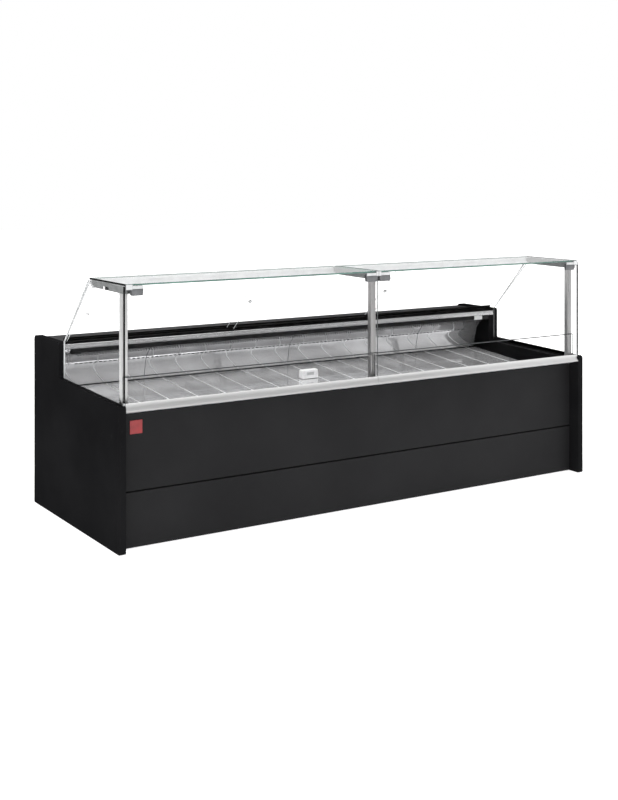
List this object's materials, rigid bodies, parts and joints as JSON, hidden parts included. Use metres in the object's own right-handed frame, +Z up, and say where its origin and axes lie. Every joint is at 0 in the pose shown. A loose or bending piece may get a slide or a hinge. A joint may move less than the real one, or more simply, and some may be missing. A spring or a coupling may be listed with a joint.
{
  "type": "refrigerated deli case",
  "caption": "Long serve-over chilled display case with straight tilting front glass, sloping display deck, sliding rear doors and a rear worktop.",
  "frame": {"origin": "on the floor under the middle of the case", "axes": "+X along the counter to the customer's right, -Y faces the customer, +Z up"},
  "size_m": [3, 1.13, 1.272],
  "materials": {
    "black_panel": "satin laminate over a foamed core",
    "black_sheet": "satin powder coat",
    "charcoal_panel": "satin powder coat",
    "door_panel": "satin skin over a foamed core",
    "black_plastic": "fine-textured moulding",
    "grey_plastic": "satin moulding",
    "stainless": "brushed",
    "polished": "bright annealed",
    "aluminium": "satin anodised",
    "dark_top": "dark satin slab",
    "foam_shell": "coated foam",
    "galvanised": "zinc",
    "coil": "finned",
    "casting_black": "black enamel",
    "clear_glass": "clear",
    "clear_acrylic": "clear acrylic"
  },
  "bodies": {
    "case": {"back_wall": "polished", "base_frame": "galvanised", "cable_gland": "black_plastic", "compressor": "casting_black", "condensate_tray": "galvanised", "condenser": "coil", "control_panel": "black_plastic", "deflector_glass_left": "clear_glass", "deflector_glass_right": "clear_glass", "display_deck_left": "stainless", "display_deck_right": "stainless", "display_lamp": "black_plastic", "door_top_track": "grey_plastic", "evaporator": "coil", "foot_front_left": "black_plastic", "foot_front_middle": "black_plastic", "foot_front_right": "black_plastic", "foot_rear_left": "black_plastic", "foot_rear_middle": "black_plastic", "foot_rear_right": "black_plastic", "front_grille": "black_plastic", "front_panel_lower": "charcoal_panel", "front_panel_upper": "charcoal_panel", "inner_wall_left": "black_plastic", "inner_wall_right": "black_plastic", "insulated_tub": "foam_shell", "machine_grille": "black_sheet", "post_left": "aluminium", "post_middle": "aluminium", "post_right": "aluminium", "rear_panel": "black_sheet", "side_glass_left": "clear_glass", "side_glass_right": "clear_glass", "side_panel_left": "black_panel", "side_panel_right": "black_panel", "storage_cabinet": "foam_shell", "top_arm_left": "aluminium", "top_arm_middle": "aluminium", "top_arm_right": "aluminium", "top_glass_left": "clear_glass", "top_glass_right": "clear_glass", "worktop": "dark_top", "worktop_nose": "polished"},
    "front_window_left": {"front_glass_left": "clear_glass", "front_trim_left": "aluminium", "glass_clip_left_outer": "grey_plastic", "glass_clip_left_inner": "grey_plastic"},
    "front_window_right": {"front_glass_right": "clear_glass", "front_trim_right": "aluminium", "glass_clip_right_outer": "grey_plastic", "glass_clip_right_inner": "grey_plastic"},
    "rear_door_left": {"rear_door_left": "clear_acrylic"},
    "rear_door_middle": {"rear_door_middle": "clear_acrylic"},
    "rear_door_right": {"rear_door_right": "clear_acrylic"},
    "storage_door_left": {"storage_door_left": "door_panel"},
    "storage_door_right": {"storage_door_right": "door_panel"},
    "evaporator_fan_left": {"evaporator_fan_left": "black_plastic"},
    "evaporator_fan_right": {"evaporator_fan_right": "black_plastic"},
    "condenser_fan": {"condenser_fan": "casting_black"},
    "power_button": {"power_button": "grey_plastic"}
  },
  "joints": [
    {"name": "front_window_left_tilt", "type": "hinge", "parent": "case", "child": "front_window_left", "pos_m": [-0.73, -0.557, 0.676], "axis": [1, 0, 0], "range_deg": [0, 70]},
    {"name": "front_window_right_tilt", "type": "hinge", "parent": "case", "child": "front_window_right", "pos_m": [0.73, -0.557, 0.676], "axis": [1, 0, 0], "range_deg": [0, 70]},
    {"name": "rear_door_left_slide", "type": "slide", "parent": "case", "child": "rear_door_left", "axis": [1, 0, 0], "range_m": [0, 1.9]},
    {"name": "rear_door_middle_slide", "type": "slide", "parent": "case", "child": "rear_door_middle", "axis": [1, 0, 0], "range_m": [-0.95, 0.95]},
    {"name": "rear_door_right_slide", "type": "slide", "parent": "case", "child": "rear_door_right", "axis": [1, 0, 0], "range_m": [-1.9, 0]},
    {"name": "storage_door_left_swing", "type": "hinge", "parent": "case", "child": "storage_door_left", "pos_m": [-1.395, 0.56, 0.272], "axis": [0, 0, 1], "range_deg": [0, 100]},
    {"name": "storage_door_right_swing", "type": "hinge", "parent": "case", "child": "storage_door_right", "pos_m": [0.425, 0.56, 0.272], "axis": [0, 0, 1], "range_deg": [-100, 0]},
    {"name": "evaporator_fan_left_spin", "type": "hinge", "parent": "case", "child": "evaporator_fan_left", "pos_m": [-0.85, -0.161, 0.5345], "axis": [0, 1, 0], "continuous": true},
    {"name": "evaporator_fan_right_spin", "type": "hinge", "parent": "case", "child": "evaporator_fan_right", "pos_m": [-0.35, -0.161, 0.5345], "axis": [0, 1, 0], "continuous": true},
    {"name": "condenser_fan_spin", "type": "hinge", "parent": "case", "child": "condenser_fan", "pos_m": [1.165, 0.381, 0.265], "axis": [0, 1, 0], "continuous": true},
    {"name": "power_button_press", "type": "slide", "parent": "case", "child": "power_button", "axis": [0, -1, 0], "range_m": [0, 0.003], "stiffness_N_per_m": 300}
  ]
}
